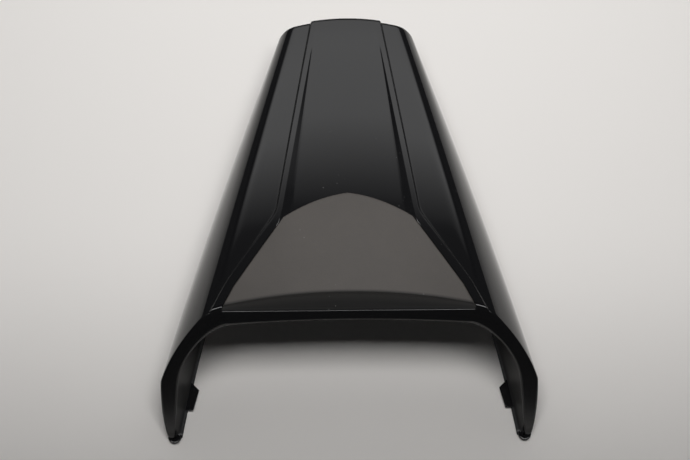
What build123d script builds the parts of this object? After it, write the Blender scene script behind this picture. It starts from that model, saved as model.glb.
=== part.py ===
from build123d import *
from math import radians, sin, tan
import os

# A motorbike seat cowl: a thin moulded shell, open underneath and at the front, with a pad set in its roof.
# X runs across, +Y runs to the tail and +Z is up. The lower lip lies on Z = 0.

# Shell: overall
length = 297.6  # arm tips to tail
wall = 2.5
rake = 46.0  # slope of the front face, degrees from the floor

# Shell: ridge, the widest line of each side
ridge_half_front = 142.8  # where the ridge would meet the foot of the front face
ridge_half_tail = 45.8
ridge_bow = 3.6  # outward bow of the ridge at mid-length
ridge_height_front = 45.0
ridge_height_tail = 30.0

# Shell: roof and shoulders
roof_height_front = 98.3
roof_height_tail = 61.0
roof_level_run = 75.0  # length from the tips over which the roof stays level
roof_fall = 1.6  # power of the curve by which the roof falls to the tail
crown_radius = 420.0
shoulder_half_front = 116.3
shoulder_half_tail = 41.9
shoulder_reach = 8.0  # from the shoulder's corner to the ends of its round
flank_lead = 0.14  # share of the lean above the ridge that the flank's lower half heads for

# Shell: lower wall and the lip that it turns into
tuck_front = 12.2  # how far the wall's foot lies inside the ridge
tuck_tail = 3.0
tuck_power = 3  # how fast the tuck runs out behind the tips
tuck_lead = 0.35  # share of the tuck that the wall's upper half heads for
bend = 3.0  # of the wall's foot into the lip
lip = 9.5  # from the wall's foot to the lip's free edge

# Shell: tail end
tail_radius = 160.0  # in plan
tail_roll = 2.5  # reach of the round from roof to rear wall
tail_corner = 24.0  # plan radius at the two rear corners

# Raised band along the roof: half widths, and distances from the tips
band_rise = 1.2
band_half_tail = 24.6
band_bend_half = 48.4
band_bend_place = 152.0
band_kink_half = 81.8
band_kink_place = 105.0
band_front_half = 98.0
band_front_place = 75.0
band_round = 14.0

# Tapered recess along the middle of the band
strip = 4.0  # flat strip left between the recess and the band's edge
recess_start = 27.0  # from the tail
recess_depth = 2.75  # beside the pad
recess_slope = 27.0  # of its side walls, degrees

# Pocket for the pad
ledge = 5.9  # between the pocket and the band's edge
pocket_depth = 2.9  # at its front corners
pocket_apex_place = 165.0  # rear point of its outline, from the tips
pocket_arc_half = 24.5  # a point that its rear edge passes through
pocket_arc_place = 158.4
pocket_shoulder_half = 43.6  # where the rear edge meets the side
pocket_shoulder_place = 148.5

# Front flange and the opening inside it
flange = 8.3  # under the pad, measured in the front face
ridge_flange = 12.0  # beside the ridge
arch_half = 80.0  # half width of the nearly level top of the opening
arch_drop = 3.8
arch_entry = 15.0  # handle lengths of the opening's curved upper corners
arch_exit = 23.0

# Side lugs and arm tips
lug_place = 23.5  # from the tips
lug_length = 18.5
lug_reach = 4.0  # beyond the lip's free edge
lug_thickness = 4.0
lug_lift = 0.8  # above the floor
tip_hole = 2.5
tip_thickness = 3.0

# Pad
pad_gap = 0.3  # to the pocket's walls
pad_proud = 0.3  # of its top over the band beside it

# Sizes that follow from the ones above
y_front = -length / 2
y_tail = length / 2 - band_rise  # the band stands out behind it
rake_sin = sin(radians(rake))
rake_tan = tan(radians(rake))
recess_tan = tan(radians(recess_slope))
ridge_taper = (ridge_half_front - ridge_half_tail + 4 * ridge_bow) / length  # in plan, at the tail
y_apex = y_front + pocket_apex_place
pocket_front_half = (band_kink_half + band_front_half) / 2 - ledge
pocket_front_height = roof_height_front + band_rise - pocket_front_half**2 / (2 * crown_radius) - pocket_depth
y_recess = y_tail - recess_start
margin = 12.0  # by which cutters pass what they cut
side_clear = 0.5  # by which the tail's cutter stays off the sides
far = 2 * length  # beyond anything in the part


def stations(first, last, count):
    return [first + (last - first) * i / (count - 1) for i in range(count)]


def share(y):
    return (y - y_front) / length


def between(front, tail, y):
    return front + (tail - front) * share(y)


def ridge_half(y):
    return between(ridge_half_front, ridge_half_tail, y) + 4 * ridge_bow * share(y) * (1 - share(y))


def ridge_height(y):
    return between(ridge_height_front, ridge_height_tail, y)


def roof_height(y):
    run = max(0.0, (y - y_front - roof_level_run) / (length - roof_level_run))
    return roof_height_front - (roof_height_front - roof_height_tail) * run**roof_fall


def foot_half(y):
    return ridge_half(y) - tuck_tail - (tuck_front - tuck_tail) * (1 - share(y)) ** tuck_power


def mirrored(points):
    return [(-point[0], *point[1:]) for point in points]


# Cross-section of the filled form at one place along it
def section(y, inset=0.0, rise=0.0):
    roof = roof_height(y) + rise - inset
    corner_half = between(shoulder_half_front, shoulder_half_tail, y) - inset
    knee_half = corner_half - shoulder_reach
    knee_height = roof - knee_half**2 / (2 * crown_radius)
    corner_height = knee_height - shoulder_reach * knee_half / crown_radius
    half = ridge_half(y) - inset
    height = ridge_height(y)
    foot = foot_half(y) - inset
    knee = Vector(knee_half, y, knee_height)
    corner = Vector(corner_half, y, corner_height)
    ridge = Vector(half, y, height)
    flank = Vector(half - flank_lead * (half - corner_half), y, (height + corner_height) / 2)
    hip = corner + (flank - corner).normalized() * shoulder_reach
    waist = Vector(half - tuck_lead * (half - foot), y, height / 2)
    sill = Vector(foot, y, inset + bend)
    base = Vector(foot - bend, y, inset)
    runs = [
        [Vector(0, y, roof), Vector(knee_half / 2, y, roof), knee],
        [knee, corner, hip],
        [hip, flank, ridge],
        [ridge, waist, sill],
        [sill, base],
    ]
    right = [Bezier(*run) for run in runs]
    left = [edge.mirror(Plane.YZ) for edge in right]
    return Face(Wire([*right, Line(right[-1] @ 1, left[-1] @ 1), *left]))


def form(inset=0.0, rise=0.0):
    places = stations(y_front - margin, y_tail + margin, 8)
    return loft([section(y, inset, rise) for y in places])


def prism(outline, low, high):
    return extrude(Pos(0, 0, low) * outline, high - low)


# A profile drawn in Y and Z, carried right across the part
def across(*points):
    return extrude(Plane.YZ * make_face(Polyline(*points, close=True)), far / 2, both=True)


# Everything in front of the front face, or of a face at some depth behind it
def ahead(depth=0.0):
    foot = y_front + depth / rake_sin
    return across((foot - far / rake_tan, -far), (foot + far / rake_tan, far), (-2 * far, far), (-2 * far, -far))


# Cuts a form to the tail's plan, and rolls its roof over into the rear wall
def tail_trimmed(solid, grow=0.0):
    radius = tail_radius + grow
    centre = Pos(0, y_tail - tail_radius)
    side = ridge_half(y_tail) + side_clear + grow
    reach = far / 2
    wedge = make_face(
        Polyline(
            (side + ridge_taper * reach, y_tail - reach),
            (side - ridge_taper * margin, y_tail + margin),
            (ridge_taper * margin - side, y_tail + margin),
            (-side - ridge_taper * reach, y_tail - reach),
            close=True,
        )
    )
    rear = wedge & (centre * Circle(radius))
    rear = fillet(rear.vertices().sort_by(Axis.Y)[-2:], tail_corner + grow)
    front = centre * Pos(0, -far / 2) * Rectangle(2 * far, far)
    kept = prism(rear, -margin, far) + prism(front, -margin, far)

    top = roof_height_tail + grow
    slope = (roof_height_front - roof_height_tail) * roof_fall / (length - roof_level_run)
    start = (radius - tail_roll, top + tail_roll * slope)
    end = (radius, top - tail_roll)
    outer = Polyline(end, (radius + margin, end[1]), (radius + margin, top + margin), (start[0], top + margin), start)
    ring = revolve(Plane.XZ * make_face([outer, Bezier(start, (radius, top), end)]), Axis.Z)
    behind = prism(Pos(0, y_tail) * Rectangle(far, tail_radius), -margin, far)
    return (solid & kept) - ((centre * ring) & behind)


# Half width of the band's straight rear part
def band_half(y):
    y_bend = y_front + band_bend_place
    return band_half_tail + (band_bend_half - band_half_tail) * (y_tail - y) / (y_tail - y_bend)


def band_outline():
    rear = y_tail + margin
    right = [
        (band_half(rear), rear),
        (band_bend_half, y_front + band_bend_place),
        (band_kink_half, y_front + band_kink_place),
        (band_front_half, y_front + band_front_place),
    ]
    left = list(reversed(mirrored(right)))
    return make_face(FilletPolyline(*right, *left, radius=band_round, close=True))


def recess_drop(y):
    return recess_depth * (y_recess - y) / (y_recess - y_apex)


def recess_foot(y):
    return band_half(y) - strip - recess_drop(y) / recess_tan


# Height of the recess floor along its two side edges
def recess_floor(y):
    return roof_height(y) + band_rise - recess_foot(y) ** 2 / (2 * crown_radius) - recess_drop(y)


# Space of the tapered recess, which fades out before the tail
def recess(grow=0.0):
    sections = []
    for y in stations(y_apex - 2 * margin, y_recess + margin, 5):
        foot = recess_foot(y) + grow
        low = recess_floor(y) - grow
        floor = Bezier((-foot, y, low), (0, y, low + foot**2 / crown_radius), (foot, y, low))
        top = [(foot, y, low), (foot + margin / recess_tan, y, low + margin)]
        sides = Polyline(*top, *reversed(mirrored(top)))
        sections.append(Face(Wire([floor, *sides.edges()])))
    return loft(sections)


def pocket_outline():
    apex = (0, y_apex)
    passing = (pocket_arc_half, y_front + pocket_arc_place)
    shoulder = (pocket_shoulder_half, y_front + pocket_shoulder_place)
    arc = ThreePointArc(apex, passing, shoulder)
    run_on = Line(arc @ 1, arc @ 1 + (arc % 1) * far)
    left = [edge.mirror(Plane.YZ) for edge in (arc, run_on)]
    closing = Line(run_on @ 1, left[1] @ 1)
    return offset(band_outline(), -ledge) & make_face([arc, run_on, *left, closing])


# Space of the pad's pocket above its plain sloping floor
def pocket(grow=0.0, drop=0.0):
    y_mouth = y_front + pocket_front_height / rake_tan
    rear_height = recess_floor(y_apex)
    slope = (rear_height - pocket_front_height) / (y_apex - y_mouth)
    low = y_mouth - far
    high = y_apex + far
    above = across(
        (low, pocket_front_height - far * slope - drop),
        (high, rear_height + far * slope - drop),
        (high, far),
        (low, far),
    )
    return prism(offset(pocket_outline(), grow), 0, far) & above


# Opening inside the front flange, drawn in the front face with its foot at the tips
def front_opening():
    y_ridge = y_front + ridge_height_front / rake_tan
    crown = pocket_front_height / rake_sin - flange
    arch_end = (arch_half, crown - arch_drop)
    leg_top = (ridge_half(y_ridge) - ridge_flange, ridge_height(y_ridge) / rake_sin)
    leg_foot = (foot_half(y_front) - wall, -margin)
    leg_slope = (leg_foot[0] - leg_top[0]) / (leg_top[1] - leg_foot[1])
    entry = (arch_half + arch_entry, crown - arch_drop - arch_entry * 2 * arch_drop / arch_half)
    exit_handle = (leg_top[0] - leg_slope * arch_exit, leg_top[1] + arch_exit)
    right = [
        Bezier((0, crown), (arch_half / 2, crown), arch_end),
        Bezier(arch_end, entry, exit_handle, leg_top),
        Line(leg_top, leg_foot),
    ]
    left = [edge.mirror(Plane.YZ) for edge in right]
    outline = make_face([*right, *left, Line(leg_foot, mirrored([leg_foot])[0])])
    face = Plane((0, y_front, 0), x_dir=(1, 0, 0), z_dir=(0, -rake_sin, rake_sin / rake_tan))
    above_lip = prism(Rectangle(far, far), wall, far)
    through = 2 * wall  # past the flange, and short of anything behind it
    return extrude(face * outline, through, both=True) & above_lip


# Opening in the bottom, which leaves the turned-in lip
def bottom_opening():
    places = stations(y_front - margin, y_tail - lip, 4)
    right = Spline(*[(foot_half(y) - lip, y) for y in places])
    left = right.mirror(Plane.YZ)
    outline = make_face([right, left, Line(right @ 0, left @ 0), Line(right @ 1, left @ 1)])
    return prism(outline, -margin, margin)


# Ends each arm in a flat drilled eye as wide as the lip
def tips_finished(solid):
    radius = lip / 2
    y_eye = y_front + radius
    eyes = [Pos(side * (foot_half(y_front) - radius), y_eye) for side in (-1, 1)]
    solid &= prism(Pos(0, y_eye + far / 2) * Rectangle(far, far), -margin, far)
    for eye in eyes:
        solid += prism(eye * Circle(radius), 0, tip_thickness)
    for eye in eyes:
        solid -= prism(eye * Circle(tip_hole / 2), -margin, margin)
    return solid


# Lugs along the lip, with the rear inner corner cut back
def lugs():
    low = y_front + lug_place
    high = low + lug_length
    edge_low = foot_half(low) - lip
    edge_high = foot_half(high) - lip
    root = wall  # by which a lug runs into the lip
    points = [
        (edge_low + root, low),
        (edge_low - lug_reach, low),
        (edge_high - lug_reach, high - lug_reach),
        (edge_high + root, high + root),
    ]
    right = prism(make_face(Polyline(*points, close=True)), lug_lift, lug_lift + lug_thickness)
    return right + mirror(right, Plane.YZ)


def cowl_shell():
    solid = tail_trimmed(form())
    band = tail_trimmed(form(rise=band_rise), band_rise) & prism(band_outline(), 0, far)
    solid = solid + band - ahead() - recess() - pocket()
    cavity = tail_trimmed(form(inset=wall), -wall) - ahead(wall) - recess(wall) - pocket(wall, wall)
    shell = solid - cavity - front_opening() - bottom_opening()
    return tips_finished(shell + lugs())


# The pad's top follows the roof, just proud of the band
def back_pad():
    return (pocket(-pad_gap) & form(rise=band_rise + pad_proud)) - ahead()


os.makedirs("parts", exist_ok=True)
for name, piece in {"cowl_shell": cowl_shell(), "back_pad": back_pad()}.items():
    piece.label = name
    export_step(piece, f"parts/{name}.step")
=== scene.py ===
import math
import bmesh
import bpy
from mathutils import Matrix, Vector


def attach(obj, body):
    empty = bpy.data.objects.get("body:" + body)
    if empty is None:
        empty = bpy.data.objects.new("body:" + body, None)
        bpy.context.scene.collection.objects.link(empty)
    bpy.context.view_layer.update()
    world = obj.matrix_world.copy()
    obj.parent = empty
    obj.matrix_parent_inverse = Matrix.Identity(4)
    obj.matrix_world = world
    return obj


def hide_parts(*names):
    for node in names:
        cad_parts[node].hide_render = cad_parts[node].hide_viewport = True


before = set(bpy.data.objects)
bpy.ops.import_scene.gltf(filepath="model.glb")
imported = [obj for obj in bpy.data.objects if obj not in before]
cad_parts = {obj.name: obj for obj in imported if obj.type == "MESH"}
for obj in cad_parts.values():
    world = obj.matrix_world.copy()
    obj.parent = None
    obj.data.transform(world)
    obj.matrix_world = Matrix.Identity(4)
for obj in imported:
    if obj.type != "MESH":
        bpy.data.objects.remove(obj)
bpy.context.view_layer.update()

mm = 0.001


def mix(a, b, t):
    return a + (b - a) * t


def ease(t):  # 0 to 1, level at both ends
    t = min(1.0, max(0.0, t))
    return t * t * (3 - 2 * t)


def softMax(a, b, soft):  # the larger one, with a rounded change-over
    return max(a, b) + max(0.0, soft - abs(a - b)) ** 2 / (4 * soft)


def bow(a, b, c, t):  # quadratic curve from a to c, drawn towards b
    return tuple((1 - t) ** 2 * p + 2 * t * (1 - t) * q + t * t * r for p, q, r in zip(a, b, c))


# one class for shader and geometry maths: wraps a socket, makes any node
class Wire:
    def __init__(self, tree, socket=None):
        self.tree = tree
        self.socket = socket

    def make(self, kind, settings=None, sockets=None, out=0):
        node = self.tree.nodes.new(kind)
        for name, value in (settings or {}).items():
            if name == "stops":  # colour ramp
                ramp = node.color_ramp.elements
                while len(ramp) < len(value):
                    ramp.new(0.5)
                for stop, (place, colour) in zip(ramp, value):
                    stop.position = place
                    stop.color = colour
            else:
                setattr(node, name, value)
        for key, value in (sockets or {}).items():
            if isinstance(value, Wire):
                self.tree.links.new(value.socket, node.inputs[key])
            else:
                node.inputs[key].default_value = value
        return Wire(self.tree, node.outputs[out] if node.outputs else None)

    def other(self, name):  # another output of the same node
        return Wire(self.tree, self.socket.node.outputs[name])

    def math(self, operation, a, b=0.0):
        return self.make("ShaderNodeMath", {"operation": operation}, {0: a, 1: b})

    def __add__(self, b):
        return self.math("ADD", self, b)

    def __radd__(self, a):
        return self.math("ADD", a, self)

    def __sub__(self, b):
        return self.math("SUBTRACT", self, b)

    def __rsub__(self, a):
        return self.math("SUBTRACT", a, self)

    def __mul__(self, b):
        return self.math("MULTIPLY", self, b)

    def __rmul__(self, a):
        return self.math("MULTIPLY", a, self)

    def __truediv__(self, b):
        return self.math("DIVIDE", self, b)

    def __rtruediv__(self, a):
        return self.math("DIVIDE", a, self)

    def __pow__(self, b):
        return self.math("POWER", self, b)

    def __rpow__(self, a):
        return self.math("POWER", a, self)


def newMaterial(name):
    material = bpy.data.materials.new(name)
    material.use_nodes = True
    material.node_tree.nodes.clear()
    return material, Wire(material.node_tree)


def noise(net, place, kind):  # kind: size, detail, roughness
    sockets = {"Vector": place, "Scale": kind[0], "Detail": kind[1], "Roughness": kind[2]}
    return net.make("ShaderNodeTexNoise", {}, sockets, out="Fac")


def cells(net, place, size, feature="F1"):  # distance to the nearest of many scattered points
    return net.make("ShaderNodeTexVoronoi", {"feature": feature}, {"Vector": place, "Scale": size}, out="Distance")


def fade(net, value, edge, ends=(0.0, 1.0), kind="LINEAR"):
    return net.make("ShaderNodeMapRange", {"interpolation_type": kind}, {
        "Value": value, "From Min": edge[0], "From Max": edge[1], "To Min": ends[0], "To Max": ends[1]})


def blendColours(net, share, a, b, kind="MIX"):
    settings = {"data_type": "RGBA", "blend_type": kind}
    return net.make("ShaderNodeMix", settings, {"Factor": share, 6: a, 7: b}, out=2)


def makeObject(name, mesh, material):
    mesh.materials.clear()
    mesh.materials.append(material)
    thing = bpy.data.objects.new(name, mesh)
    bpy.context.scene.collection.objects.link(thing)
    return thing


# Gloss black moulding: dark, faint ripple of the mould, a little dust
glossLook = {"colour": (0.0075, 0.0075, 0.0082, 1), "ior": 1.5, "roughness": 0.085, "roughSpread": 0.05,
             "cloudNoise": (14.0, 4.0, 0.6), "insideRough": 0.3,
             "dustColour": (0.045, 0.045, 0.044, 1), "dustRough": 0.35, "dustSize": 260.0, "dustEdge": (0.045, 0.099),
             "patchNoise": (60.0, 2.0, 0.5), "patchEdge": (0.58, 0.66),
             "rippleNoise": (55.0, 1.0, 0.5), "ripple": 0.012, "peelNoise": (900.0, 2.0, 0.5), "peel": 0.002,
             "bump": 0.5, "bumpDepth": 0.002}


def glossMaterial(look):
    material, net = newMaterial("glossShell")
    place = net.make("ShaderNodeTexCoord", out="Object")
    speck = fade(net, cells(net, place, look["dustSize"]), look["dustEdge"], (1.0, 0.0))
    dust = speck * fade(net, noise(net, place, look["patchNoise"]), look["patchEdge"])
    colour = blendColours(net, dust, look["colour"], look["dustColour"])
    cloud = noise(net, place, look["cloudNoise"])
    inside = net.make("ShaderNodeAttribute", {"attribute_name": "inside"}, out="Fac")
    rough = look["roughness"] + (cloud - 0.5) * look["roughSpread"]
    rough = rough + dust * look["dustRough"] + inside * look["insideRough"]
    ripple = noise(net, place, look["rippleNoise"])
    peel = noise(net, place, look["peelNoise"])
    height = ripple * look["ripple"] + peel * look["peel"]
    bump = net.make("ShaderNodeBump", {}, {"Height": height, "Strength": look["bump"], "Distance": look["bumpDepth"]})
    shader = net.make("ShaderNodeBsdfPrincipled", {}, {
        "Base Color": colour, "Roughness": rough, "Normal": bump, "IOR": look["ior"]})
    net.make("ShaderNodeOutputMaterial", {}, {"Surface": shader})
    return material


# Matte pad: fine moulded grain, rubbed a little paler here and there, with painted shade darkening its front face
padLook = {"dark": (0.0635, 0.0572, 0.0522, 1), "pale": (0.0865, 0.0778, 0.0708, 1), "shadeEdge": (0.3, 0.7),
           # painted shade: "front" is the colour factor on the pad's raked front face, frontShadeDepth how far back it
           # fades
           "cloudNoise": (22.0, 5.0, 0.65), "cloudPart": 0.6, "front": 0.04, "frontShadeDepth": (0.0006, 0.0022),
           "roughness": 0.66, "roughSpread": 0.16, "cloudRough": 0.1, "specular": 0.36,
           "grainNoise": (1500.0, 3.0, 0.6), "grainPart": 0.6, "pebbleSize": 900.0, "grain": 0.35, "grainDepth": 0.0003,
           "speckColour": (0.16, 0.16, 0.155, 1), "speckSize": 190.0, "speckEdge": (0.04, 0.08),
           "patchNoise": (45.0, 1.0, 0.5), "patchEdge": (0.6, 0.66)}


def padMaterial(look):
    material, net = newMaterial("mattePad")
    place = net.make("ShaderNodeTexCoord", out="Object")
    cloud = noise(net, place, look["cloudNoise"])
    grain = noise(net, place, look["grainNoise"])
    pebble = cells(net, place, look["pebbleSize"], "SMOOTH_F1")
    shade = fade(net, cloud * look["cloudPart"] + grain * (1 - look["cloudPart"]), look["shadeEdge"])
    base = blendColours(net, shade, look["dark"], look["pale"])
    along = net.make("ShaderNodeSeparateXYZ", {}, {"Vector": place}, out="Y")
    # painted shade: the base colour is multiplied down towards "front" on the raked front face, standing in for the
    # shade that face lies in
    behind = (along - yFront * mm) * rakeSin - along.other("Z") * rakeCos  # depth behind the raked front
    base = blendColours(net, 1.0, base, fade(net, behind, look["frontShadeDepth"], (look["front"], 1.0)), "MULTIPLY")
    speck = fade(net, cells(net, place, look["speckSize"]), look["speckEdge"], (1.0, 0.0))
    where = fade(net, noise(net, place, look["patchNoise"]), look["patchEdge"])
    colour = blendColours(net, speck * where, base, look["speckColour"])
    rough = look["roughness"] + (grain - 0.5) * look["roughSpread"] + (cloud - 0.5) * look["cloudRough"]
    height = grain * look["grainPart"] + pebble * (1 - look["grainPart"])
    bump = net.make("ShaderNodeBump", {}, {"Height": height, "Strength": look["grain"], "Distance": look["grainDepth"]})
    shader = net.make("ShaderNodeBsdfPrincipled", {}, {
        "Base Color": colour, "Roughness": rough, "Normal": bump, "Specular IOR Level": look["specular"]})
    net.make("ShaderNodeOutputMaterial", {}, {"Surface": shader})
    return material


# The shell, in millimetres: half widths, heights, and places measured from the arm tips
cowl = {"length": 297.54, "wall": 2.5, "rake": 46.0,
        "ridgeHalf": (142.8, 45.8), "ridgeBow": 3.6, "ridgeHeight": (45.0, 30.0), "ridgeFade": 0.8,
        "roofHeight": (98.3, 61.0), "roofLevelRun": 75.0, "roofFall": 1.6, "crownRadius": 420.0,
        "shoulderHalf": (116.3, 41.9), "shoulderReach": 8.0, "flankLead": 0.14,
        "tuck": (12.2, 3.0), "tuckPower": 3, "tuckLead": 0.35, "bend": 3.0, "lip": 9.5,
        "tailRadius": 160.0, "tailCorner": 24.0, "tailClear": 0.5,
        "bandRise": 1.2, "bandTail": 24.6, "bandBend": (48.4, 152.0), "bandKink": (81.8, 105.0),
        "bandFront": (114.2, 45.0), "bandSoft": 1.6, "bandSoftGain": 0.11,
        "strip": 4.0, "stripSpread": 0.165, "rimSoft": 0.6,
        "recessStart": 9.0, "recessDepth": 2.75, "recessSlope": 27.0, "recessFoot": 0.8,
        "ledge": 5.9, "ledgeBevel": (0.244, -0.575), "pocketFloor": (88.2, 86.4), "pocketLean": 0.35,
        "floorBlend": (13, 8), "footBlend": (9, 7),  # how far before the pad's shoulder, and how long
        "apex": 165.0, "padShoulder": (43.6, 148.5), "padArc": (24.5, 158.4),
        "flange": 8.3, "ridgeFlange": 12.0, "archHalf": 80.0, "archDrop": 3.8, "archEntry": 15.0, "archExit": 23.0,
        "legAim": -12.0, "legLift": 0.2, "hollow": (0.3, 0.25), "hollowFoot": 1.0, "hollowEdge": 1.2,
        "lugPlace": 23.5, "lugLength": 18.5, "lugReach": 4.0, "lugRoot": 2.6, "lugThickness": 2.1, "lugLift": 0.8,
        "tipHole": 2.5, "tipThickness": 3.0, "tipRun": 3.0, "tipSides": 40,
        "tipRound": ((0, 1.3), (0.12, 0.8), (0.4, 0.4), (0.8, 0.12), (1.3, 0)), "softEdge": 0.3, "sharp": 50.0,
        "insideLean": (4, 26), "insideTop": (78, 8)}  # where the walls' inner faces get duller

yFront = -cowl["length"] / 2
yTail = cowl["length"] / 2 - cowl["bandRise"]
rakeSin = math.sin(math.radians(cowl["rake"]))
rakeCos = math.cos(math.radians(cowl["rake"]))
rakeCot = rakeCos / rakeSin
recessTan = math.tan(math.radians(cowl["recessSlope"]))
crown = 2 * cowl["crownRadius"]
recessEnd = yTail - cowl["recessStart"] - yFront  # from the tips
yArm = yFront + cowl["tipRun"]  # the arms run out here into their eyes
mouth = cowl["pocketFloor"][0] * rakeCot  # front of the pocket's floor, from the tips


def share(y):
    return (y - yFront) / cowl["length"]


def ridgeHalf(y):
    return mix(*cowl["ridgeHalf"], share(y)) + 4 * cowl["ridgeBow"] * share(y) * (1 - share(y))


def footHalf(y):
    front, tail = cowl["tuck"]
    return ridgeHalf(y) - tail - (front - tail) * (1 - share(y)) ** cowl["tuckPower"]


def roofHeight(y):
    run = max(0.0, (y - yFront - cowl["roofLevelRun"]) / (cowl["length"] - cowl["roofLevelRun"]))
    return mix(*cowl["roofHeight"], run ** cowl["roofFall"])


# Half width of the raised band's outline, set in by some distance
def bandHalf(d, inset=0.0):
    bend, kink, front = cowl["bandBend"], cowl["bandKink"], cowl["bandFront"]
    tail = (cowl["bandTail"], yTail - yFront)

    def run(a, b):  # straight run through a and b
        slope = (b[0] - a[0]) / (b[1] - a[1])
        return a[0] + slope * (d - a[1]) - inset * math.hypot(1, slope)

    half = softMax(run(bend, tail), run(kink, bend), cowl["bandSoft"] + cowl["bandSoftGain"] * inset)
    return min(half, run(front, kink)) if d < bend[1] else half


def recessDrop(d):
    return max(0.0, cowl["recessDepth"] * (recessEnd - d) / (recessEnd - cowl["apex"]))


def bandHeight(x, y):
    return roofHeight(y) + cowl["bandRise"] - x * x / crown


def nearShoulder(d, blend):  # 0 to 1 on the way to the pad's shoulder
    ahead, run = cowl[blend]
    return ease((d - cowl["padShoulder"][1] + ahead) / run)


# Floor of the recess, and further forward of the pocket under the pad
def floorHeight(x, y):
    d = y - yFront
    low, rear = cowl["pocketFloor"]
    pocket = mix(low, rear, (d - mouth) / (cowl["apex"] - mouth))
    return mix(pocket, bandHeight(x, y) - recessDrop(d), nearShoulder(d, "floorBlend"))


# Columns of the mesh, counted outwards from the middle, and their places on each run
footColumn = 9  # foot of the wall of recess and pocket
rimColumn = 13
bandColumns = 17  # columns 0 to 17 lie on the raised band
hipColumn = 28
ridgeColumn = 36
sillColumn = 44
baseColumn = 45
lipColumn = 47
floorPlaces = (0, 0.12, 0.25, 0.4, 0.55, 0.7, 0.82, 0.92)
rimPlaces = (0, 0.12, 0.5, 0.95)
wingPlaces = (0.12, 0.3, 0.55, 0.8)
turnPlaces = (0, 0.25, 0.5, 0.75, 1)
wingShare, lipPlace = 0.25, 0.85
floorHold, rimHold, bandHold, footHold = 0.9, 0.3, (0.8, 0.2), (0.12, 0.7)  # mm, columns close by keep an edge crisp


# Half of the cross-section at y: one point for each column of the mesh
def profile(y, inset):
    d = y - yFront
    roof = roofHeight(y) - inset
    reach = cowl["shoulderReach"]
    cornerX = mix(*cowl["shoulderHalf"], share(y)) - inset
    kneeX = cornerX - reach
    kneeZ = roof - kneeX * kneeX / crown
    knee = (kneeX, kneeZ)
    corner = (cornerX, kneeZ - 2 * reach * kneeX / crown)
    ridge = (ridgeHalf(y) - inset, mix(*cowl["ridgeHeight"], share(y)))
    flank = (ridge[0] - cowl["flankLead"] * (ridge[0] - cornerX), (ridge[1] + corner[1]) / 2)
    run = math.hypot(flank[0] - cornerX, flank[1] - corner[1])
    hip = (cornerX + (flank[0] - cornerX) * reach / run, corner[1] + (flank[1] - corner[1]) * reach / run)
    foot = footHalf(y) - inset
    waist = (ridge[0] - cowl["tuckLead"] * (ridge[0] - foot), ridge[1] / 2)

    def skin(x):  # height of roof and shoulder at x
        if x <= kneeX:
            return roof - x * x / crown
        a, b, c = kneeX - 2 * cornerX + hip[0], 2 * (cornerX - kneeX), kneeX - x
        t = -c / b if abs(a) < 1e-9 else (-b + math.sqrt(max(0.0, b * b - 4 * a * c))) / (2 * a)
        return bow(knee, corner, hip, t)[1]

    edge = bandHalf(d)
    bendD = cowl["bandBend"][1]
    rearTop = bandHalf(max(d, bendD)) - cowl["strip"] + max(0.0, bendD - d) * cowl["stripSpread"]
    top = softMax(bandHalf(d, cowl["ledge"]), rearTop, cowl["rimSoft"])
    rearFoot = rearTop - max(recessDrop(d) / recessTan, cowl["recessFoot"])
    low = mix(top - cowl["pocketLean"], rearFoot, nearShoulder(d, "footBlend"))
    rise = 0.0 if inset else cowl["bandRise"]

    points = []
    for x in [low * f for f in floorPlaces] + [low - floorHold]:
        points.append((x, floorHeight(x, y) - inset))
    for f in rimPlaces:
        points.append((mix(low, top, f), mix(floorHeight(low, y) - inset, skin(top) + rise, f)))
    for x in (top, top + rimHold, (top + edge) / 2, edge - bandHold[0], edge - bandHold[1]):
        points.append((x, skin(x) + rise))
    start = edge + footHold[1]
    for x in (edge + footHold[0], start):
        points.append((x, skin(x)))
    turn = max(kneeX, start + wingShare * (hip[0] - start))
    for x in [mix(start, turn, f) for f in wingPlaces] + [mix(turn, hip[0], f) for f in turnPlaces]:
        points.append((x, skin(x)))
    upper, lower = ridgeColumn - hipColumn, sillColumn - ridgeColumn
    for k in range(1, upper + 1):
        points.append(bow(hip, flank, ridge, k / upper))
    for k in range(1, lower + 1):
        points.append(bow(ridge, waist, (foot, inset + cowl["bend"]), k / lower))
    inner = footHalf(y) - cowl["lip"]
    for x in (foot - cowl["bend"], mix(foot - cowl["bend"], inner, lipPlace), inner):
        points.append((x, inset))
    if inset:  # the arms' inside is one hollow sweep from wall to lip
        begin, run = cowl["hollow"]
        hollow = 1 - ease((share(y) - begin) / run)
        sweep = lipColumn - 1 - ridgeColumn
        for k in range(1, sweep + 1):
            swept = bow(ridge, (foot, inset + cowl["hollowFoot"]), (inner + cowl["hollowEdge"], inset), k / sweep)
            plain = points[ridgeColumn + k]
            points[ridgeColumn + k] = tuple(mix(a, b, hollow) for a, b in zip(plain, swept))
    return points


# Plan of the tail: the two sides, the corner rounds and the flat rear arc
sideTaper = (cowl["ridgeHalf"][0] - cowl["ridgeHalf"][1] + 4 * cowl["ridgeBow"]) / cowl["length"]
sideNormal = Vector((1, sideTaper)).normalized()
sidePoint = Vector((ridgeHalf(yTail) + cowl["tailClear"], yTail))
tailCentre = Vector((0, yTail - cowl["tailRadius"]))


def cornerCentre():
    start = sidePoint - sideNormal * cowl["tailCorner"] - tailCentre
    along = Vector((-sideNormal.y, sideNormal.x))
    half = start.dot(along)
    reach = cowl["tailRadius"] - cowl["tailCorner"]
    slide = -half + math.sqrt(half * half - start.dot(start) + reach * reach)
    return tailCentre + start + along * slide


tailPivot = cornerCentre()


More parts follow.
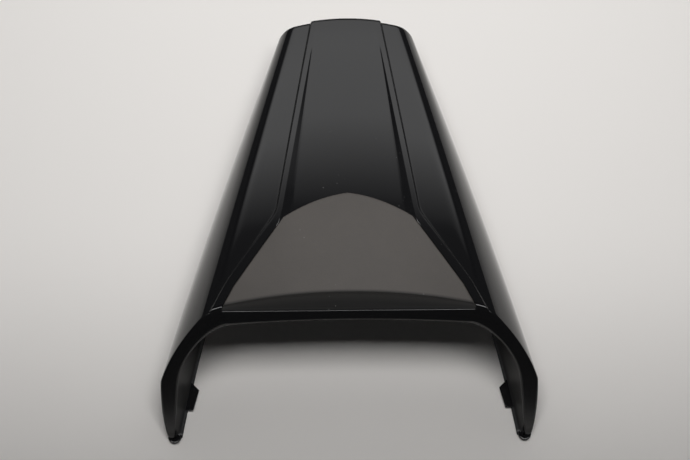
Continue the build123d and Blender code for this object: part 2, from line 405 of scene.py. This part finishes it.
def tailHalf(y, inset):  # half width of the plan at y
    radius = cowl["tailCorner"] - inset
    begin = tailPivot.y + sideNormal.y * radius
    toRear = (tailPivot - tailCentre).normalized()
    end = tailPivot.y + toRear.y * radius
    if y < begin:
        return sidePoint.x - sideTaper * (y - yTail) - inset * math.hypot(1, sideTaper)
    if y < end:
        return tailPivot.x + math.sqrt(max(0.0, radius ** 2 - (y - tailPivot.y) ** 2))
    return math.sqrt(max(0.0, (cowl["tailRadius"] - inset) ** 2 - (y - tailCentre.y) ** 2))


def halve(low, high, isLow):  # the place between low and high where isLow turns false
    for _ in range(40):
        y = (low + high) / 2
        low, high = (y, high) if isLow(y) else (low, y)
    return (low + high) / 2


def tailPlace(x, inset):  # y of the plan at x
    return halve(yTail - 40, yTail - inset, lambda y: tailHalf(y, inset) > x)


def tailInset(column, inset):
    if column >= baseColumn:
        return inset + cowl["bend"]
    return inset - cowl["bandRise"] if column <= bandColumns and not inset else inset


def columnStart(column, inset):  # where a column leaves the raked front
    y = yFront + 60  # first guess
    for _ in range(14):
        y = max(yFront + inset / rakeSin + profile(y, inset)[column][1] * rakeCot, yArm)
    return y


lipStep = 0.9  # between the lip's last columns, along the rear


def columnEnd(column, inset):  # where a column meets the tail
    if column > baseColumn:
        return yTail - cowl["lip"] + (lipColumn - column) * lipStep
    inward = tailInset(column, inset)
    return halve(yTail - 45, yTail - inward, lambda y: profile(y, inset)[column][0] < tailHalf(y, inward))


# Rows from front to tail, closer at both ends
rowPlaces = [0, 0.004, 0.012] + [0.03 + 0.94 * k / 58 for k in range(59)] + [0.982, 0.992, 1]
frontRows, frontStretch = 3, 1.6  # the band's first rows lie further apart
wallPlaces = [0, 0.025, 0.08, 0.25, 0.5, 0.75, 0.93, 1]  # down the rear wall


# One skin, outer or inner: columns from raked front to tail, then the rear wall and its lip
def skinPoints(inset):
    rows = [[None] * (lipColumn + 1) for _ in rowPlaces]
    for column in range(lipColumn + 1):
        first, last = columnStart(column, inset), columnEnd(column, inset)
        for j, place in enumerate(rowPlaces):
            stretch = frontStretch if column <= bandColumns + 1 and j < frontRows else 1
            y = mix(first, last, place * stretch)
            x, z = profile(y, inset)[column]
            rows[j][column] = (x, y, z)
    end = rows[-1]
    rear = []  # strips of the rear wall, one for each column from the middle to next the ridge
    narrow = end[sillColumn][0] / end[hipColumn][0]
    for column in range(ridgeColumn):
        top = end[column]
        if column <= hipColumn:
            bottom = (top[0] * narrow, 0, inset + cowl["bend"])
        else:
            bottom = end[sillColumn - (column - hipColumn)]
        strip = [top]
        for f in wallPlaces[1:]:
            x, z = mix(top[0], bottom[0], f), mix(top[2], bottom[2], f)
            strip.append((x, tailPlace(x, tailInset(column, inset)), z))
        if column <= hipColumn:
            low = x * end[baseColumn][0] / end[sillColumn][0]
            strip.append((low, tailPlace(low, tailInset(column, inset) + cowl["bend"]), inset))
            for edgeColumn in (baseColumn + 1, lipColumn):
                strip.append((x * end[edgeColumn][0] / end[sillColumn][0], end[edgeColumn][1], inset))
        rear.append(strip)
    return rows, rear


# Free edge of the front flange for each column of the first row, drawn in the raked face
def flangeEdge(rows):
    c = cowl
    yRidge = yFront + c["ridgeHeight"][0] * rakeCot
    high = c["pocketFloor"][0] / rakeSin - c["flange"]
    archEnd = (c["archHalf"], high - c["archDrop"])
    legTop = (ridgeHalf(yRidge) - c["ridgeFlange"], mix(*c["ridgeHeight"], share(yRidge)) / rakeSin)
    legFoot = (footHalf(yFront) - c["wall"], c["legAim"])
    slope = (legFoot[0] - legTop[0]) / (legTop[1] - legFoot[1])
    entry = (c["archHalf"] + c["archEntry"], archEnd[1] - c["archEntry"] * 2 * c["archDrop"] / c["archHalf"])
    leave = (legTop[0] - slope * c["archExit"], legTop[1] + c["archExit"])
    first = [(x, z / rakeSin) for x, y, z in rows[0]]
    gone = [0.0]
    for a, b in zip(first[footColumn:ridgeColumn], first[footColumn + 1:ridgeColumn + 1]):
        gone.append(gone[-1] + math.hypot(b[0] - a[0], b[1] - a[1]))
    edge = []
    for column in range(sillColumn + 1):
        x, s = first[column]
        if column <= footColumn:
            t = x / first[footColumn][0]
            edge.append((c["archHalf"] * t, high - c["archDrop"] * t * t))
        elif column <= ridgeColumn:
            t = gone[column - footColumn] / gone[-1]
            ends = bow(archEnd, entry, leave, t), bow(entry, leave, legTop, t)
            edge.append(tuple(mix(a, b, t) for a, b in zip(*ends)))
        else:
            t = (legTop[1] - s) / (legTop[1] - first[sillColumn][1])
            foot = (c["wall"] + c["legLift"]) / rakeSin
            along = mix(legTop[1], foot, t)
            edge.append((legTop[0] + slope * (legTop[1] - along), along))
    return edge


flangePlaces = (0.09, 0.5, 0.91)  # rows of the flange, from the roof to its free edge
ledgePlaces = (0.16, 0.5, 0.91)
hiddenPlaces = (0.15, 0.85)  # and back up behind it


def shellMesh():
    bm = bmesh.new()
    crease = bm.edges.layers.float.new("crease_edge")
    outerRows, outerRear = skinPoints(0.0)
    innerRows, innerRear = skinPoints(cowl["wall"])
    edge = flangeEdge(outerRows)
    back = (rakeSin * cowl["wall"], -rakeCos * cowl["wall"])  # through the flange's thickness
    for side in (1, -1):
        def vertex(point):
            return bm.verts.new((side * point[0] * mm, point[1] * mm, point[2] * mm))

        def skin(rows, rear):
            grid = [[vertex(p) for p in row] for row in rows]
            for upper, lower in zip(grid, grid[1:]):
                for a, b, c, d in zip(upper, upper[1:], lower[1:], lower):
                    bm.faces.new((a, b, c, d))
            last = grid[-1]
            strips = []
            for column, strip in enumerate(rear):
                made = [last[column]] + [vertex(p) for p in strip[1:]]
                if column == hipColumn:
                    made[len(wallPlaces) - 1:] = [last[k] for k in range(sillColumn, lipColumn + 1)]
                if column > hipColumn:
                    made[-1] = last[sillColumn - (column - hipColumn)]
                strips.append(made)
            for a, b in zip(strips, strips[1:]):
                for k in range(min(len(a), len(b)) - 1):
                    bm.faces.new((a[k], b[k], b[k + 1], a[k + 1]))
            tip = strips[-1]  # closes on the end of the ridge
            for k in range(len(tip) - 1):
                bm.faces.new((tip[k], last[ridgeColumn], tip[k + 1]))
            return grid, [strip[-1] for strip in strips[:hipColumn + 1]]

        outer, outerLip = skin(outerRows, outerRear)
        for j, place in enumerate(rowPlaces[1:]):  # crisp rim of recess and pocket, ridge that softens to the tail
            for column, hold in ((rimColumn, 1.0), (ridgeColumn, 1 - cowl["ridgeFade"] * place)):
                bm.edges.get((outer[j][column], outer[j + 1][column]))[crease] = hold
        inner, innerLip = skin(innerRows, innerRear)
        outerSide, innerSide = [row[lipColumn] for row in outer], [row[lipColumn] for row in inner]
        for a, b in ((outerSide, innerSide), (outerLip, innerLip)):  # lip's free edge, along the sides and the rear
            for k in range(len(a) - 1):
                bm.faces.new((a[k], a[k + 1], b[k + 1], b[k]))
        for column in range(sillColumn, lipColumn):  # front end of the lip
            bm.faces.new((outer[0][column], outer[0][column + 1], inner[0][column + 1], inner[0][column]))
        chains = []
        for column, (x, s) in enumerate(edge):
            start, stop = outerRows[0][column], innerRows[0][column]
            free = (x, yFront + s * rakeCos, s * rakeSin)
            hidden = (x, free[1] + back[0], free[2] + back[1])
            chain = [outer[0][column]]
            places = flangePlaces
            if rimColumn <= column <= bandColumns:  # the ledge's front end is bevelled
                chain[0].co += Vector((0, *cowl["ledgeBevel"])) * mm
                places = ledgePlaces
            for f in places:
                chain.append(vertex([mix(a, b, f) for a, b in zip(start, free)]))
            chain += [vertex(free), vertex(hidden)]
            for f in hiddenPlaces:
                chain.append(vertex([mix(a, b, f) for a, b in zip(hidden, stop)]))
            chains.append(chain + [inner[0][column]])
        for a, b in zip(chains, chains[1:]):
            for k in range(len(a) - 1):
                bm.faces.new((a[k], b[k], b[k + 1], a[k + 1]))
        bm.faces.new(chains[-1])
    bmesh.ops.remove_doubles(bm, verts=bm.verts, dist=1e-6)
    bmesh.ops.recalc_face_normals(bm, faces=bm.faces)
    print("shell cage", len(bm.faces), "faces, open edges", sum(len(e.link_faces) != 2 for e in bm.edges))
    mesh = bpy.data.meshes.new("cowlShell")
    bm.to_mesh(mesh)
    bm.free()
    return mesh


# Lugs inside the arms, and the drilled eyes at their tips
def armFittings(bm):
    c = cowl
    low = yFront + c["lugPlace"]
    high = low + c["lugLength"]
    lowEdge, highEdge = footHalf(low) - c["lip"], footHalf(high) - c["lip"]
    plan = [(lowEdge + c["lugRoot"], low), (lowEdge - c["lugReach"], low),
            (highEdge - c["lugReach"], high - c["lugReach"]), (highEdge + c["lugRoot"], high + c["lugRoot"])]
    radius, hole, rim, top = c["lip"] / 2, c["tipHole"] / 2, c["softEdge"], c["tipThickness"]
    eye = (footHalf(yFront) - radius, yFront + radius)
    section = [(hole, rim), (hole + rim, 0), (radius - rim, 0), (radius, rim)]
    section += [(radius - a, top - b) for a, b in c["tipRound"]] + [(hole + rim, top), (hole, top - rim)]
    turns = [2 * math.pi * k / c["tipSides"] for k in range(c["tipSides"])]
    for side in (1, -1):
        lug = [bm.verts.new((side * x * mm, y * mm, c["lugLift"] * mm)) for x, y in plan]
        raised = bmesh.ops.extrude_face_region(bm, geom=[bm.faces.new(lug)])["geom"]
        for v in raised:
            if isinstance(v, bmesh.types.BMVert):
                v.co.z += c["lugThickness"] * mm
        edges = {e for v in lug for e in v.link_edges} | {e for e in raised if isinstance(e, bmesh.types.BMEdge)}
        bmesh.ops.bevel(bm, geom=list(edges), offset=c["softEdge"] * mm, segments=2, profile=0.5, affect="EDGES")
        rounds = []
        for r, z in section:
            ring = [(side * (eye[0] + r * math.cos(a)) * mm, (eye[1] + r * math.sin(a)) * mm, z * mm) for a in turns]
            rounds.append([bm.verts.new(point) for point in ring])
        for inside, outside in zip(rounds, rounds[1:] + rounds[:1]):
            for k in range(len(turns)):
                n = (k + 1) % len(turns)
                bm.faces.new((inside[k], inside[n], outside[n], outside[k]))


def makeShell(material):
    cage = bpy.data.objects.new("cage", shellMesh())
    bpy.context.scene.collection.objects.link(cage)
    smooth = cage.modifiers.new("smooth", "SUBSURF")
    smooth.levels = smooth.render_levels = 1
    depsgraph = bpy.context.evaluated_depsgraph_get()
    skin = bpy.data.meshes.new_from_object(cage.evaluated_get(depsgraph))
    bpy.data.objects.remove(cage)
    extra = bmesh.new()
    armFittings(extra)
    bmesh.ops.recalc_face_normals(extra, faces=extra.faces)
    extraMesh = bpy.data.meshes.new("fittings")
    extra.to_mesh(extraMesh)
    extra.free()
    whole = bmesh.new()
    whole.from_mesh(skin)
    whole.from_mesh(extraMesh)
    mesh = bpy.data.meshes.new("cowlShell")
    whole.to_mesh(mesh)
    whole.free()
    mesh.set_sharp_from_angle(angle=math.radians(cowl["sharp"]))
    for face in mesh.polygons[len(skin.polygons):]:  # level tops of the fittings stay flat
        face.use_smooth = abs(face.normal.z) < 0.99
    inside = mesh.attributes.new("inside", "FLOAT", "POINT")  # 1 on the walls' inner faces
    (lean, leanRun), (top, topRun) = cowl["insideLean"], cowl["insideTop"]
    for v, value in zip(mesh.vertices[:len(skin.vertices)], inside.data):
        facing = ease(-(v.co.x * v.normal.x / mm + lean) / leanRun)
        value.value = facing * ease((top - v.co.z / mm) / topRun)
    return makeObject("cowlShell", mesh, material)


glossShell = glossMaterial(glossLook)
shell = makeShell(glossShell)
print("shell", len(shell.data.polygons), "faces")


# The pad: a block whose sides, crown and floor follow the pocket, made by a node tree
pad = {"Columns": 65, "Rows": 45, "Layers": 6,
       "Proud": 0.3, "Gap": 0.3, "Set Back": 0.55, "Round": 0.9, "Lift": 0.05}
padSharp = 65.0


def padTree():
    tree = bpy.data.node_groups.new("backPad", "GeometryNodeTree")
    tree.interface.new_socket("Geometry", in_out="OUTPUT", socket_type="NodeSocketGeometry")
    for name, value in pad.items():
        kind = "NodeSocketInt" if isinstance(value, int) else "NodeSocketFloat"
        tree.interface.new_socket(name, in_out="INPUT", socket_type=kind)
    tree.interface.new_socket("Material", in_out="INPUT", socket_type="NodeSocketMaterial")
    net = Wire(tree)
    given = net.make("NodeGroupInput")
    gap, proud, bend = given.other("Gap"), given.other("Proud"), given.other("Round")

    def blend(a, b, t):
        return (b - a) * t + a

    def roof(d):
        run = net.math("MAXIMUM", (d - cowl["roofLevelRun"]) / (cowl["length"] - cowl["roofLevelRun"]), 0.0)
        return blend(*cowl["roofHeight"], run ** cowl["roofFall"])

    def crownHeight(x, d):  # of the band's top
        return roof(d) + cowl["bandRise"] - x * x / crown

    def side(a, b, d):  # the band's edge through two corners, set in by ledge and gap
        slope = (b[0] - a[0]) / (b[1] - a[1])
        return (d - a[1]) * slope + a[0] - (gap + cowl["ledge"]) * math.hypot(1, slope)

    shoulder = cowl["padShoulder"][0] - gap

    def half(d):
        rearRun = side(cowl["bandKink"], cowl["bandBend"], d)
        frontRun = side(cowl["bandFront"], cowl["bandKink"], d)
        return net.math("MAXIMUM", net.math("MINIMUM", rearRun, frontRun), shoulder)

    block = net.make("GeometryNodeMeshCube", {}, {
        "Size": (2, 1, 1), "Vertices X": given.other("Columns"),
        "Vertices Y": given.other("Rows"), "Vertices Z": given.other("Layers")})
    place = net.make("ShaderNodeSeparateXYZ", {}, {"Vector": net.make("GeometryNodeInputPosition")}, out="X")
    u, v, w = place, place.other("Y") + 0.5, place.other("Z") + 0.5
    u = u * 1.5 - u ** 3 * 0.5  # closer columns and rows at the rims
    v = v * v * (3 - v * 2)

    # rear edge: apex, a point on the way, shoulder
    apex, (arcX, arcD), (farX, farD) = cowl["apex"], cowl["padArc"], cowl["padShoulder"]
    first = (arcD - apex) / arcX
    curve = ((farD - arcD) / (farX - arcX) - first) / farX
    off = net.math("ABSOLUTE", u * shoulder)
    rear = apex - gap + off * (first - curve * arcX) + off * off * curve
    # front edge: raked, from the pocket's mouth up to the crown
    foot = given.other("Set Back") + mouth
    crest = foot + 7  # first guess
    for _ in range(4):
        crest = (crownHeight(u * half(crest), crest) + proud) * rakeCot + given.other("Set Back")
    front = blend(foot, crest, w)
    d = blend(front, rear, v)
    reach = half(d)
    x = u * reach

    low, back = cowl["pocketFloor"]
    pocket = (d - mouth) * ((back - low) / (apex - mouth)) + low
    drop = (recessEnd - d) * (cowl["recessDepth"] / (recessEnd - apex))
    ahead, run = cowl["floorBlend"]
    near = fade(net, d, (farD - ahead, farD - ahead + run), kind="SMOOTHSTEP")
    bottom = blend(pocket, crownHeight(x, d) - drop, near) + given.other("Lift")
    # the rim rolls over
    inward = net.math("MINIMUM", reach - net.math("ABSOLUTE", x), net.math("MINIMUM", d - front, rear - d))
    lack = net.math("MAXIMUM", 1 - inward / bend, 0.0)
    roll = bend * (1 - net.math("SQRT", 1 - lack * lack))
    top = crownHeight(x, d) + proud - roll
    z = blend(bottom, top, w)

    point = net.make("ShaderNodeCombineXYZ", {}, {"X": x * mm, "Y": (d + yFront) * mm, "Z": z * mm})
    shaped = net.make("GeometryNodeSetPosition", {}, {"Geometry": block, "Position": point})
    whole = net.make("GeometryNodeRealizeInstances", {}, {"Geometry": shaped})
    done = net.make("GeometryNodeSetMaterial", {}, {"Geometry": whole, "Material": given.other("Material")})
    net.make("NodeGroupOutput", {}, {"Geometry": done})
    return tree


def makePad(material):
    seed = bpy.data.objects.new("padSeed", bpy.data.meshes.new("padSeed"))
    bpy.context.scene.collection.objects.link(seed)
    nodes = seed.modifiers.new("pad", "NODES")
    nodes.node_group = padTree()
    for socket in nodes.node_group.interface.items_tree:
        if socket.in_out == "INPUT":
            nodes[socket.identifier] = material if socket.name == "Material" else pad[socket.name]
    seed.update_tag()
    depsgraph = bpy.context.evaluated_depsgraph_get()
    mesh = bpy.data.meshes.new_from_object(seed.evaluated_get(depsgraph))
    seed.modifiers.clear()
    bpy.data.objects.remove(seed)
    mesh.set_sharp_from_angle(angle=math.radians(padSharp))
    return makeObject("backPad", mesh, material)


mattePad = padMaterial(padLook)
backPad = makePad(mattePad)
print("pad", len(backPad.data.polygons), "faces")

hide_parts("cowl_shell")
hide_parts("back_pad")
for piece, slot in ((shell, "gloss_shell"), (backPad, "matte_pad")):
    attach(piece, "root")

# Studio: pale floor, a soft box above the tail, a wide pale card behind it that the gloss reflects,
# a flag over the front and a strip before it
studio = {"floorSize": 6.0, "floorDrop": 0.0002, "floorColour": (0.875, 0.848, 0.82, 1), "floorSpecular": 0.2,
          "floorRough": 0.75, "floorRoughSpread": 0.1, "floorNoise": (3.0, 2.0, 0.5),
          "floorGlow": {"middle": (0, 0.7, 0), "edge": (0.93, 1.25), "level": 0.56}, "room": 0.03,
          "softBox": {"place": (0.035, 0.13, 1.05), "aim": (0.0, 0.5, 0.0), "size": (0.56, 0.36), "level": 13.2},
          "strip": {"place": (0.0, -0.85, 1.0), "aim": (0.0, -0.05, 0.1), "size": (2.0, 0.15), "level": 9.0},
          "flag": {"height": 0.6, "sides": (-0.6, 0.6), "near": -0.4, "far": -0.03, "colour": (0.01, 0.01, 0.01, 1)},
          "card": {"height": 1.1, "sides": (-1.5, 1.6), "near": 0.5, "far": 1.65, "middle": 0.06, "fade": (0.66, 1.1),
                   "levels": [(0.0, 0.12), (0.08, 0.45), (0.18, 0.95), (0.28, 1.45), (0.55, 1.6), (1.0, 1.2)]}}


def makeFloor():
    material, net = newMaterial("paleFloor")
    place = net.make("ShaderNodeTexCoord", out="Object")
    cloud = noise(net, place, studio["floorNoise"])
    rough = studio["floorRough"] + (cloud - 0.5) * studio["floorRoughSpread"]
    glow = studio["floorGlow"]  # keeps the floor pale where the lamps don't reach
    away = net.make("ShaderNodeVectorMath", {"operation": "DISTANCE"}, {0: place, 1: glow["middle"]}, out="Value")
    ray = net.make("ShaderNodeLightPath", out="Is Camera Ray")
    seen = net.math("MAXIMUM", ray, ray.other("Is Glossy Ray"))
    strength = fade(net, away, glow["edge"], (0.0, glow["level"]), "SMOOTHSTEP") * seen
    shader = net.make("ShaderNodeBsdfPrincipled", {}, {
        "Base Color": studio["floorColour"], "Roughness": rough, "Specular IOR Level": studio["floorSpecular"],
        "Emission Color": studio["floorColour"], "Emission Strength": strength})
    net.make("ShaderNodeOutputMaterial", {}, {"Surface": shader})
    half = studio["floorSize"]
    mesh = bpy.data.meshes.new("floor")
    mesh.from_pydata([(-half, -half, 0), (half, -half, 0), (half, half, 0), (-half, half, 0)], [], [(0, 1, 2, 3)])
    floor = makeObject("floor", mesh, material)
    floor.location.z = -studio["floorDrop"]


def makeLamp(name, box):
    data = bpy.data.lights.new(name, "AREA")
    data.shape = "RECTANGLE"
    data.size, data.size_y = box["size"]
    data.energy = box["level"] * math.pi * data.size * data.size_y
    lamp = bpy.data.objects.new(name, data)
    bpy.context.scene.collection.objects.link(lamp)
    lamp.location = box["place"]
    lamp.rotation_euler = (Vector(box["aim"]) - Vector(box["place"])).to_track_quat("-Z", "Y").to_euler()
    return lamp


def makeSheet(name, sheet, material):  # level sheet over the part, out of the camera's sight
    left, right = sheet["sides"]
    near, far, z = sheet["near"], sheet["far"], sheet["height"]
    mesh = bpy.data.meshes.new(name)
    mesh.from_pydata([(left, near, z), (left, far, z), (right, far, z), (right, near, z)], [], [(0, 1, 2, 3)])
    made = makeObject(name, mesh, material)
    made.visible_camera = False


def makeFlag(flag):  # keeps some of the soft box off the floor in front
    material, net = newMaterial("blackCloth")
    shader = net.make("ShaderNodeBsdfDiffuse", {}, {"Color": flag["colour"]})
    net.make("ShaderNodeOutputMaterial", {}, {"Surface": shader})
    makeSheet("flag", flag, material)


def makeCard(card):  # brightness falls off towards its near edge and its sides
    material, net = newMaterial("paleCard")
    place = net.make("ShaderNodeTexCoord", out="Object")
    along = net.make("ShaderNodeSeparateXYZ", {}, {"Vector": place}, out="Y")
    top = max(level for _, level in card["levels"])
    stops = [(at, (level / top, level / top, level / top, 1)) for at, level in card["levels"]]
    run = fade(net, along, (card["near"], card["far"]))
    colour = net.make("ShaderNodeValToRGB", {"stops": stops}, {"Fac": run})
    off = net.math("ABSOLUTE", along.other("X") - card["middle"])
    strength = fade(net, off, card["fade"], (top, 0.0), "SMOOTHSTEP")
    glow = net.make("ShaderNodeEmission", {}, {"Color": colour, "Strength": strength})
    net.make("ShaderNodeOutputMaterial", {}, {"Surface": glow})
    makeSheet("card", card, material)


makeFloor()
makeLamp("softBox", studio["softBox"])
makeLamp("strip", studio["strip"]).visible_diffuse = False  # only draws lines along the front's gloss edges
makeFlag(studio["flag"])
makeCard(studio["card"])
world = bpy.data.worlds.new("room")
bpy.context.scene.world = world
world.use_nodes = True
background = world.node_tree.nodes["Background"]
background.inputs["Color"].default_value = (1, 1, 1, 1)
background.inputs["Strength"].default_value = studio["room"]
print("studio", len(bpy.data.lights), "lamps")

view = {"place": (-0.00356, -0.16097, 0.9484), "turn": (10.0, 0.0, -0.57), "lens": 67.83, "sensor": 36.0}
camera = bpy.data.objects.new("camera", bpy.data.cameras.new("camera"))
bpy.context.scene.collection.objects.link(camera)
camera.location = view["place"]
camera.rotation_euler = [math.radians(a) for a in view["turn"]]
camera.data.lens = view["lens"]
camera.data.sensor_width = view["sensor"]
bpy.context.scene.camera = camera
bpy.context.scene.view_settings.view_transform = "Standard"
